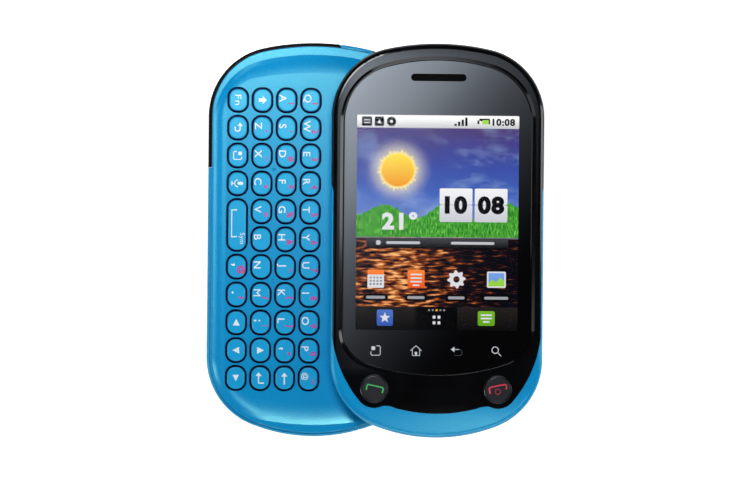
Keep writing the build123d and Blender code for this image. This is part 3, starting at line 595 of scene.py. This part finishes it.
def screenWord(name, floor, paint, text, x, y, height, bold):
    at = (screenX + x * mm, y * mm, (screen["level"] + floor * screen["step"]) * mm)
    return lettering(name, text, at, height, "slider", paints[paint], 0.0, bold,
                     screen["letterWidth"])


onScreen("screenWallpaper", 0, "dusk", [
    boxPoints(0, (screen["low"] + screen["top"]) / 2, wide, screen["top"] - screen["low"])])

# status bar: three notices on the left, signal, battery and clock on the right
status = {"height": 3.4, "notices": (-18.9, -15.6, -12.4), "signal": 4.6, "bars": 4, "battery": 12.3,
          "clock": 17.4, "time": "10:08"}
barY = screen["top"] - status["height"] / 2
letterX, pictureX, discX = status["notices"]
onScreen("statusBar", 1, "bar", [boxPoints(0, barY, wide, status["height"], 0.3)])
onScreen("statusNotices", 2, "dark", [
    boxPoints(letterX, barY, 2.7, 2.5, 0.4), boxPoints(pictureX, barY, 2.5, 2.5, 0.4),
    discPoints(discX, barY, 1.25, 20)])
onScreen("statusNoticeSigns", 3, "white", [
    boxPoints(letterX, barY + 0.35, 1.5, 0.22), boxPoints(letterX, barY - 0.35, 1.5, 0.22),
    [(pictureX - 0.5, barY - 0.5), (pictureX + 0.5, barY - 0.5), (pictureX, barY + 0.5)],
    discPoints(discX, barY, 0.4, 12)])
onScreen("statusSignal", 2, "dark", [
    *(boxPoints(status["signal"] + 0.95 * n, barY - 0.77 + 0.28 * n, 0.62, 0.56 * (n + 1))
      for n in range(status["bars"])),
    boxPoints(status["battery"], barY, 2.9, 1.9, 0.35), boxPoints(status["battery"] - 1.65, barY, 0.5, 0.9)])
onScreen("statusCharge", 3, "green", [boxPoints(status["battery"] + 0.25, barY, 1.7, 1.15, 0.1)])
screenWord("statusClock", 2, "dark", status["time"], status["clock"], barY, 1.75, 0.045)

# rolling meadow with a sun over it. Each hill has a crest that swells and ripples round its level. On it
# every second blade of grass is raised, and every third a little more
hills = {"meadowBack": {"floor": 1, "level": 7.6, "swell": 1.6, "start": 0.9, "length": 17.0},
         "meadowFront": {"floor": 2, "level": 4.4, "swell": 0.9, "start": 2.6, "length": 13.0}}
crestLine = {"blades": 60, "ripple": 0.4, "rippleLength": 2.3, "second": 0.35, "third": 0.25}
for name, hill in hills.items():
    crest = [(screen["half"], screen["shore"]), (-screen["half"], screen["shore"])]
    for n in range(crestLine["blades"] + 1):
        x = -screen["half"] + wide * n / crestLine["blades"]
        wave = sin(hill["start"] + 2 * pi * x / hill["length"])
        wave += crestLine["ripple"] * sin(x / crestLine["rippleLength"])
        blade = crestLine["second"] * (n % 2) + crestLine["third"] * (n % 3 == 0)
        crest.append((x, hill["level"] + hill["swell"] * wave + blade))
    onScreen(name, hill["floor"], "grass", [crest])
onScreen("sunRays", 3, "yellow", [
    starPoints(*sun["at"], sun["rayPoints"], [sun["size"] + ray for ray in sun["rays"]])])
onScreen("sunDisc", 4, "sun", [discPoints(*sun["at"], sun["size"])])

# two digit cards, each split across the middle, and the temperature
cards = {"y": 9.5, "width": 8.7, "upper": 4.3, "lower": 4.5, "gap": 0.1, "round": 0.35, "digits": 4.3,
         "bold": 0.055}
for name, x, digits in (("hourCard", 4.9, "10"), ("minuteCard", 14.2, "08")):
    onScreen(name, 3, "card", [
        boxPoints(x, cards["y"] + cards["gap"] + cards["upper"] / 2, cards["width"], cards["upper"],
                  cards["round"]),
        boxPoints(x, cards["y"] - cards["lower"] / 2, cards["width"], cards["lower"], cards["round"])])
    screenWord(name + "Digits", 5, "dark", digits, x, cards["y"], cards["digits"], cards["bold"])
degrees = {"text": "21°", "at": (-10.0, 5.2), "height": 4.2, "bold": 0.045}
screenWord("temperature", 5, "white", degrees["text"], *degrees["at"], degrees["height"], degrees["bold"])

# dark bar under the meadow, with a disc and pale pills in place of words: their middles and widths
bar = {"y": -0.7, "size": (37.6, 2.8), "round": 0.5, "wordY": -0.6, "pills": ((-9.0, 9.0), (9.4, 11.5)),
       "pillHeight": 0.7, "pillRound": 0.3, "disc": (-15.6, 0.65)}
spotX, spotR = bar["disc"]
onScreen("widgetBar", 3, "darkBar", [boxPoints(0, bar["y"], *bar["size"], bar["round"])])
onScreen("widgetBarPills", 4, "pill", [
    *(boxPoints(x, bar["wordY"], width, bar["pillHeight"], bar["pillRound"]) for x, width in bar["pills"]),
    discPoints(spotX, bar["wordY"], spotR, 16)])

# four programs: calendar, note, settings and picture, with pale pills in place of their names
programs = {"x": (-16.2, -5.5, 5.2, 15.8), "y": -10.2, "nameY": -15.1, "name": (6.6, 6.2, 6.0, 8.0),
            "pill": (5.0, 4.6, 4.4, 6.4)}
calendarX, noteX, gearX, albumX = programs["x"]
iconY = programs["y"]
onScreen("calendarSheet", 2, "white", [boxPoints(calendarX, iconY - 0.6, 4.4, 3.6, 0.3)])
onScreen("calendarHead", 3, "orange", [boxPoints(calendarX, iconY + 1.75, 4.4, 1.3, 0.3)])
onScreen("calendarDays", 3, "grey", [
    boxPoints(calendarX - 1.35 + 0.9 * i, iconY + 0.3 - 0.85 * j, 0.5, 0.45)
    for i in range(4) for j in range(3)])
onScreen("noteSheet", 2, "orange", [boxPoints(noteX, iconY, 4.5, 4.8, 0.4)])
onScreen("noteLines", 3, "white", [
    boxPoints(noteX, iconY + 1.2 - 0.95 * n, width, 0.4) for n, width in enumerate((3.0, 3.0, 3.0, 1.8))])
onScreen("gear", 2, "white", [
    starPoints(gearX, iconY, 32, (2.4, 2.4, 1.85, 1.85)), discPoints(gearX, iconY, 0.85, 20)])
onScreen("pictureFrame", 2, "white", [boxPoints(albumX, iconY, 5.0, 4.3, 0.35)])
onScreen("pictureSky", 3, "blue", [boxPoints(albumX, iconY, 4.2, 3.5)])
onScreen("pictureHills", 4, "green", [[(albumX + x, iconY + y) for x, y in (
    (-2.1, -1.75), (2.1, -1.75), (2.1, -0.4), (1.0, 0.6), (-0.1, -0.7), (-1.1, 0.1), (-2.1, -0.9))]])
onScreen("programNames", 2, "dark", [
    boxPoints(x, programs["nameY"], width, 1.9, 0.9) for x, width in zip(programs["x"], programs["name"])])
onScreen("programNamePills", 3, "pill", [
    boxPoints(x, programs["nameY"], width, 0.75, 0.35) for x, width in zip(programs["x"], programs["pill"])])

# dock: a starred tile, page dots over a four-dot launcher, and a tile of bars
dock = {"y": -20.65, "height": 6.2, "panel": 11.0, "dotY": -18.4, "tileY": -20.5, "starX": -13.7,
        "barsX": 13.2}
onScreen("dock", 2, "dock", [boxPoints(0, dock["y"], wide, dock["height"])])
onScreen("launcherPanel", 3, "dark", [boxPoints(0, dock["y"], dock["panel"], dock["height"])])
onScreen("launcherDots", 4, "white", [
    boxPoints(i * 0.65, dock["y"] - 0.35 + j * 0.75, 0.72, 0.8, 0.12) for i in (-1, 1) for j in (-1, 1)])
onScreen("pageDots", 4, "pill", [discPoints(x, dock["dotY"], 0.24, 12) for x in (-2, -1, 1, 2)])
onScreen("thisPageDot", 4, "yellow", [discPoints(0, dock["dotY"], 0.3, 12)])
onScreen("dockTileLeft", 4, "blue", [boxPoints(dock["starX"], dock["tileY"], 4.3, 4.3, 0.5)])
onScreen("dockStar", 5, "white", [starPoints(dock["starX"], dock["tileY"], 10, (1.5, 0.62), pi / 2)])
onScreen("dockTileRight", 4, "green", [boxPoints(dock["barsX"], dock["tileY"], 4.5, 3.9, 0.5)])
onScreen("dockBars", 5, "white", [
    boxPoints(dock["barsX"], dock["tileY"] + 0.9 - 0.9 * n, width, 0.42)
    for n, width in enumerate((2.9, 2.9, 1.7))])
print("screen picture")

# blackened woven wire: dark, with little sheen
blackGauze = fineGrain("blackenedGauze", "#040405", "#0A0A0B", 0.8, 0.3 * mm, 0.15)
ringTrim = brushedSteel("darkChromeTrim", 0.35, "#54575C", "#666A70")
# ground and polished glass edge, black from the print behind it
glassEdge = fineGrain("polishedGlassEdge", "#040506", "#08090B", 0.15, 0.3 * mm, 0.9)


def gauze(name, cover, fromX, body):
    # woven cover: a grid of wires
    across, along = (max(2, round(side / cover["pitch"])) for side in cover["size"])
    x, y, z = cover["at"]
    bpy.ops.object.select_all(action="DESELECT")
    bpy.ops.mesh.primitive_grid_add(x_subdivisions=across, y_subdivisions=along, size=1)
    piece = bpy.context.object
    piece.scale = (*cover["size"], 1)
    bpy.ops.object.transform_apply(scale=True)
    weave = piece.modifiers.new("weave", "WIREFRAME")
    weave.thickness = cover["wire"]
    bpy.ops.object.modifier_apply(modifier=weave.name)
    bpy.ops.object.mode_set(mode="EDIT")
    bpy.ops.mesh.select_all(action="SELECT")
    bpy.ops.mesh.normals_make_consistent(inside=False)  # the wires come out facing inwards
    bpy.ops.object.mode_set(mode="OBJECT")
    return settle(piece, name, body, blackGauze, (fromX + x * mm, y * mm, z * mm))


def turned(section, steps=64, weld=0.0005, smoothBelow=35):
    # round shape: its section (radius and height in millimetres) spun about the upright. Points closer
    # than weld are merged
    bpy.ops.object.select_all(action="DESELECT")
    bpy.ops.mesh.primitive_circle_add(vertices=len(section))
    piece = bpy.context.object
    for vertex, (r, z) in zip(piece.data.vertices, section):
        vertex.co = (r, 0, z)
    bpy.ops.object.mode_set(mode="EDIT")
    bpy.ops.mesh.select_all(action="SELECT")
    bpy.ops.mesh.spin(steps=steps, angle=2 * pi, center=(0, 0, 0), axis=(0, 0, 1))
    bpy.ops.mesh.select_all(action="SELECT")
    bpy.ops.mesh.remove_doubles(threshold=weld)
    bpy.ops.mesh.normals_make_consistent(inside=False)
    bpy.ops.object.mode_set(mode="OBJECT")
    bpy.ops.object.shade_smooth_by_angle(angle=radians(smoothBelow))
    return piece


def settleCopies(piece, body, material, places, flat=None):
    # what repeats is modelled once, and each place gets a copy with its own mesh
    for name, at in places.items():
        selectOnly(piece)
        bpy.ops.object.duplicate()
        settle(bpy.context.object, name, body, material, at, flat=flat)
    bpy.data.objects.remove(piece)


# the earpiece is measured from the middle of the screen half, the speaker from that of the keypad half
earpiece = {"at": (0, 43.2, 14.93), "size": (14.4, 1.8), "pitch": 0.36, "wire": 0.07}
speaker = {"at": (15.77, 33.0, 1.25), "size": (8.6, 8.9), "pitch": 0.4, "wire": 0.06}
gauze("earpieceGauze", earpiece, screenX, "slider")
gauze("speakerGauze", speaker, 0, "base")

# rear camera: a printed window, and behind it a steel ring round the lens
rearCamera = {
    "at": (0, 38.0 * mm, 0), "printed": 0.17 * mm, "clear": 2.5 * mm,
    "window": [(0, 0.06), (4.9, 0.06), (5.12, 0.12), (5.12, 0.28), (0, 0.28)],
    "ring": [(2.0, 0.62), (2.2, 0.5), (2.75, 0.5), (2.95, 0.62), (2.95, 0.88), (2.0, 0.88)],
    "lens": [(0, 0.55), (0.7, 0.59), (1.3, 0.68), (1.85, 0.84), (1.85, 0.89), (0, 0.89)],
}
printSpot = (*rearCamera["at"][:2], rearCamera["printed"])
acrylic = windowPrint(printSpot, rearCamera["clear"])
settle(turned(rearCamera["window"]), "cameraWindow", "base", acrylic, rearCamera["at"])
settle(turned(rearCamera["ring"]), "cameraRing", "base", finishes["screw_steel"], rearCamera["at"])
settle(turned(rearCamera["lens"]), "cameraLens", "base", coatedLens(), rearCamera["at"])

# homing pips: domes over their stubs on the deck, each in the middle of four keys
pips = {"between": {"upper": "xdcf", "lower": "njmk"}, "radius": 0.5, "height": 0.66 * mm, "sink": 0.12 * mm,
        "stub": 0.4 * mm}
deckPoints = [v.co for v in nodes["keypad_deck"].data.vertices]
places = {}
for label, letters in pips["between"].items():
    boxes = [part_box("key_" + letter) for letter in letters]
    x, y = (sum(low[axis] + high[axis] for low, high in boxes) / 2 / len(boxes) for axis in (0, 1))
    stub = max(c.z for c in deckPoints if abs(c.x - x) < pips["stub"] and abs(c.y - y) < pips["stub"])
    places[label + "HomingPip"] = (x, y, stub - pips["sink"])
bpy.ops.object.select_all(action="DESELECT")
bpy.ops.mesh.primitive_uv_sphere_add(segments=24, ring_count=12, radius=pips["radius"])
bpy.ops.object.shade_smooth()
settleCopies(bpy.context.object, "base", finishes["blue_deck"], places, pips["height"])

# thin trim rings in the grooves round the call keys
trim = {"above": 0.06 * mm, "section": [(3.6, -0.3), (3.6, -0.04), (3.65, 0.0), (3.71, -0.05), (3.63, -0.3)]}
settleCopies(turned(trim["section"]), "slider", ringTrim,
             {name + "Trim": topMiddle(name, trim["above"]) for name in callSigns})


def glassChamfer(edge):
    # polished chamfer round the glass, along the outline of its solid
    rim = lensHigh.z - edge["outlineBelow"]
    points = [v.co for v in nodes["touch_lens"].data.vertices]
    found = {(round(c.x, 7), round(c.y, 7)) for c in points if abs(c.z - rim) < edge["within"]}
    middle, half = (lensLow + lensHigh) / 2, (lensHigh - lensLow) / 2
    outline = sorted(found, key=lambda point: atan2(point[1] - middle.y, point[0] - middle.x))
    bpy.ops.object.select_all(action="DESELECT")
    bpy.ops.mesh.primitive_circle_add(vertices=len(outline))
    piece = bpy.context.object
    for vertex, (x, y) in zip(piece.data.vertices, outline):
        vertex.co = (x, y, lensHigh.z + edge["up"] - edge["drop"])
    bpy.ops.object.mode_set(mode="EDIT")
    bpy.ops.mesh.select_all(action="SELECT")
    bpy.ops.transform.resize(value=(1 + edge["out"] / half.x, 1 + edge["out"] / half.y, 1),
                             center_override=middle)
    bpy.ops.mesh.extrude_region_move(TRANSFORM_OT_translate={"value": (0, 0, edge["drop"])})
    bpy.ops.transform.resize(value=(1 - edge["in"] / half.x, 1 - edge["in"] / half.y, 1),
                             center_override=middle)
    bpy.ops.mesh.select_all(action="SELECT")
    bpy.ops.mesh.normals_make_consistent(inside=False)
    bpy.ops.object.mode_set(mode="OBJECT")
    return settle(piece, "glassChamfer", "slider", glassEdge, (0, 0, 0), 1.0)


# how far the chamfer reaches in from the outline, out of it, over the glass and down, and where the
# solid's outline is read: just under its rounded top edge
glassChamfer({"in": 0.22 * mm, "out": 0.03 * mm, "up": 0.02 * mm, "drop": 0.17 * mm,
              "outlineBelow": 0.2 * mm, "within": 0.01 * mm})
print("gauzes, camera and glass edge")

# a long lens over the phone, turned and tilted a little. The width is what it sees at the deck
shot = {"over": (16.20 * mm, 0.04 * mm), "distance": 1.49, "width": 199.3 * mm, "roll": 0.52, "tilt": 2.5,
        "sensor": 36.0}
turn = Matrix.Rotation(radians(-shot["tilt"]), 4, "Y") @ Matrix.Rotation(radians(shot["roll"]), 4, "Z")
aim = Vector((*shot["over"], deckHigh))
bpy.ops.object.camera_add(location=aim + turn @ Vector((0, 0, shot["distance"])), rotation=turn.to_euler())
camera = bpy.context.object
camera.name = "camera"
camera.data.sensor_width = shot["sensor"]
camera.data.lens = shot["sensor"] * shot["distance"] / shot["width"]
bpy.context.scene.camera = camera

# the glass mirrors glassPanel, the strips draw lines along the edges, and the small panels light the
# chin and the top of the deck
lamps = {
    "glassPanel": {"at": (0.0465, 0.0065, 0.22), "aim": (0.0465, 0.0065, 0.0), "size": (0.063, 0.103),
                   "power": 0.5, "colour": (0.77, 0.87, 1.0)},
    "leftStrip": {"at": (-0.42, -0.12, 0.22), "aim": (0.02, -0.01, 0.0), "size": (0.2, 0.5), "power": 0.6},
    "rightStrip": {"at": (0.50, 0.06, 0.13), "aim": (0.04, 0.0, 0.0), "size": (0.12, 0.5), "power": 1.3},
    "chinPanel": {"at": (0.085, -0.145, 0.22), "aim": (0.085, -0.145, 0.0), "size": (0.09, 0.04),
                  "power": 0.07},
    "frontStrip": {"at": (0.08, -0.40, 0.16), "aim": (0.03, -0.05, 0.0), "size": (0.4, 0.10), "power": 0.6},
    "deckPanel": {"at": (-0.03, 0.095, 0.22), "aim": (-0.03, 0.095, 0.0), "size": (0.08, 0.06),
                  "power": 0.38},
}
for name, lamp in lamps.items():
    facing = (Vector(lamp["aim"]) - Vector(lamp["at"])).to_track_quat("-Z", "Y").to_euler()
    bpy.ops.object.light_add(type="AREA", location=lamp["at"], rotation=facing)
    light = bpy.context.object
    light.name = name
    light.data.shape = "RECTANGLE"
    light.data.size, light.data.size_y = lamp["size"]
    light.data.energy = lamp["power"]
    light.data.color = lamp.get("colour", (1.0, 1.0, 1.0))

# glassPanel fades along a diagonal, towards the lower right. Its levels are given by the distance from an
# edge line, and the last one is full power
fade = {"edge": -0.0645, "depth": 0.14, "angle": radians(52),
        "levels": [(0.0, 0.0), (0.018, 0.02), (0.035, 0.1), (0.047, 0.24), (0.058, 0.5), (0.078, 1.0),
                   (0.105, 2.2), (0.14, 2.2)]}


def fadeLamp(lamp):
    lamp.use_nodes = True
    tree = lamp.node_tree
    diagonal = (-sin(fade["angle"]), cos(fade["angle"]), 0)
    along = addNode(tree, "VectorMath", {"operation": "DOT_PRODUCT", 1: diagonal},
                    {0: addNode(tree, "NewGeometry")}).outputs["Value"]
    reach = addNode(tree, "MapRange", {"From Min": fade["edge"], "From Max": fade["edge"] + fade["depth"]},
                    {"Value": along})
    falloff = addNode(tree, "FloatCurve", links={"Value": reach})
    curve = falloff.mapping.curves[0]
    last = fade["levels"][-1][1]
    for n, (distance, level) in enumerate(fade["levels"]):
        point = (distance / fade["depth"], level / last)
        if n < len(curve.points):
            curve.points[n].location = point
        else:
            curve.points.new(*point)
    falloff.mapping.update()
    feed(tree.nodes["Emission"], {"Strength": falloff})


fadeLamp(bpy.data.objects["glassPanel"].data)


def mirroredRays(tree):
    # what the camera sees itself, and what it sees in gloss and through glass
    rays = addNode(tree, "LightPath").outputs
    mirrored = addNode(tree, "Math", {"operation": "MAXIMUM"},
                       {0: rays["Is Glossy Ray"], 1: rays["Is Transmission Ray"]})
    return rays["Is Camera Ray"], mirrored


# the room is dark overhead. The white backdrop shows to the eye, and near the horizon in gloss and glass
room = {"dark": (0.03, 0.03, 0.032, 1.0), "white": (1.0, 1.0, 1.0, 1.0), "horizon": 0.02, "overhead": 0.15}


def studioRoom():
    world = bpy.data.worlds.new("studio")
    world.use_nodes = True
    tree = world.node_tree
    seen, mirrored = mirroredRays(tree)
    toward = addNode(tree, "TexCoord").outputs["Generated"]
    height = addNode(tree, "SeparateXYZ", links={"Vector": toward}).outputs["Z"]
    level = addNode(tree, "MapRange", {"From Min": room["overhead"], "From Max": room["horizon"]},
                    {"Value": height})
    nearHorizon = addNode(tree, "Math", {"operation": "MULTIPLY"}, {0: mirrored, 1: level})
    white = addNode(tree, "Math", {"operation": "MAXIMUM"}, {0: seen, 1: nearHorizon})
    backdrop = addNode(tree, "Mix", {"data_type": "RGBA", 6: room["dark"], 7: room["white"]}, {0: white})
    feed(tree.nodes["Background"], {"Color": backdrop.outputs[2]})
    return world


bpy.context.scene.world = studioRoom()

paper = {"size": 4.0, "height": -0.02 * mm, "colour": "#E8E8E8", "toCamera": 0.8, "mirrored": 0.45}


def whitePaper():
    # matt paper: pure white to the camera where the lamps reach it, and it keeps the shadow
    material, tree, surface, place = startMaterial("whitePaper", {
        "Base Color": paper["colour"], "Roughness": 0.9, "Specular IOR Level": 0.0,
        "Emission Color": "#FFFFFF"})
    seen, mirrored = mirroredRays(tree)
    dim = addNode(tree, "Math", {"operation": "MULTIPLY", 1: paper["mirrored"]}, {0: mirrored})
    lift = addNode(tree, "Math", {"operation": "MULTIPLY_ADD", 1: paper["toCamera"]}, {0: seen, 2: dim})
    feed(surface, {"Emission Strength": lift})
    return material


bpy.ops.mesh.primitive_plane_add(size=paper["size"], location=(0, 0, paper["height"]))
floor = bpy.context.object
floor.name = "floor"
floor.data.materials.append(whitePaper())
print("camera, lamps and floor")

bpy.context.scene.view_settings.view_transform = "Standard"
